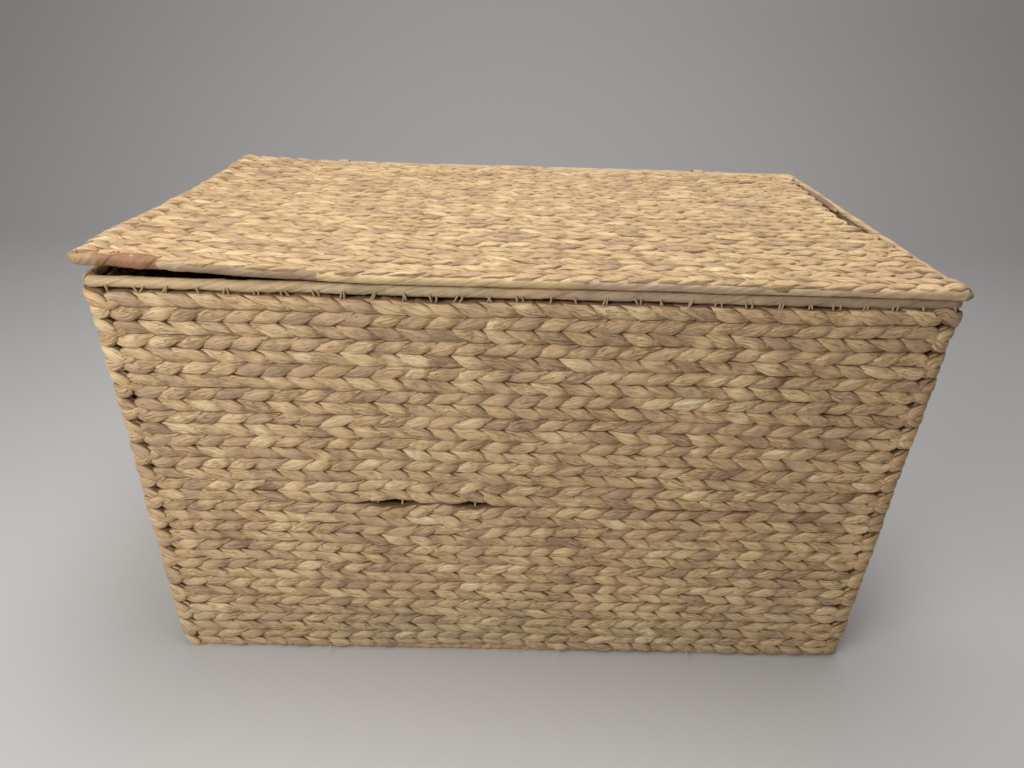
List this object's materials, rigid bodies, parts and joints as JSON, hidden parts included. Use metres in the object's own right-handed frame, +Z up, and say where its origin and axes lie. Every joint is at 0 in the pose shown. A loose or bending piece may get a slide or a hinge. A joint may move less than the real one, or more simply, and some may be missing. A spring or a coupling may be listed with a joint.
{
  "type": "woven lidded box",
  "caption": "Rectangular storage chest of twined leaf strands on a rod frame, with a flat lid hinged at the rear by two lashings.",
  "frame": {"origin": "centre of the footprint, on the floor", "axes": "+X to the right along the long side, +Y to the rear where the lid is hinged, +Z up; the front faces -Y"},
  "size_m": [0.6, 0.345, 0.3751],
  "materials": {
    "twined_strand": "matte",
    "leaf_wrap": "satin",
    "frame_steel": "satin"
  },
  "bodies": {
    "chest": {"base_rod": "frame_steel", "base_wrap_front": "leaf_wrap", "base_wrap_left": "leaf_wrap", "base_wrap_rear": "leaf_wrap", "base_wrap_right": "leaf_wrap", "corner_post_front_left": "frame_steel", "corner_post_front_right": "frame_steel", "corner_post_rear_left": "frame_steel", "corner_post_rear_right": "frame_steel", "floor_cross_rod_01": "frame_steel", "floor_cross_rod_02": "frame_steel", "floor_cross_rod_03": "frame_steel", "floor_mat": "twined_strand", "hinge_lashing_left": "leaf_wrap", "hinge_lashing_right": "leaf_wrap", "rim_rod": "frame_steel", "rim_wrap_front": "leaf_wrap", "rim_wrap_left": "leaf_wrap", "rim_wrap_rear": "leaf_wrap", "rim_wrap_right": "leaf_wrap", "weft_band_01": "twined_strand", "weft_band_02": "twined_strand", "weft_band_03": "twined_strand", "weft_band_04": "twined_strand", "weft_band_05": "twined_strand", "weft_band_06": "twined_strand", "weft_band_07": "twined_strand", "weft_band_08": "twined_strand", "weft_band_09": "twined_strand", "weft_band_10": "twined_strand", "weft_band_11": "twined_strand", "weft_band_12": "twined_strand", "weft_band_13": "twined_strand", "weft_band_14": "twined_strand", "weft_band_15": "twined_strand", "weft_band_16": "twined_strand", "weft_band_17": "twined_strand"},
    "lid": {"lid_rod": "frame_steel", "lid_weft_band_01": "twined_strand", "lid_weft_band_02": "twined_strand", "lid_weft_band_03": "twined_strand", "lid_weft_band_04": "twined_strand", "lid_weft_band_05": "twined_strand", "lid_weft_band_06": "twined_strand", "lid_weft_band_07": "twined_strand", "lid_weft_band_08": "twined_strand", "lid_weft_band_09": "twined_strand", "lid_weft_band_10": "twined_strand", "lid_weft_band_11": "twined_strand", "lid_weft_band_12": "twined_strand", "lid_weft_band_13": "twined_strand", "lid_weft_band_14": "twined_strand", "lid_weft_band_15": "twined_strand", "lid_weft_band_16": "twined_strand", "lid_wrap_front": "leaf_wrap", "lid_wrap_left": "leaf_wrap", "lid_wrap_rear": "leaf_wrap", "lid_wrap_right": "leaf_wrap"}
  },
  "joints": [
    {"name": "lid_hinge", "type": "hinge", "parent": "chest", "child": "lid", "pos_m": [0, 0.167, 0.35949], "axis": [-1, 0, 0], "range_deg": [0, 180]}
  ]
}
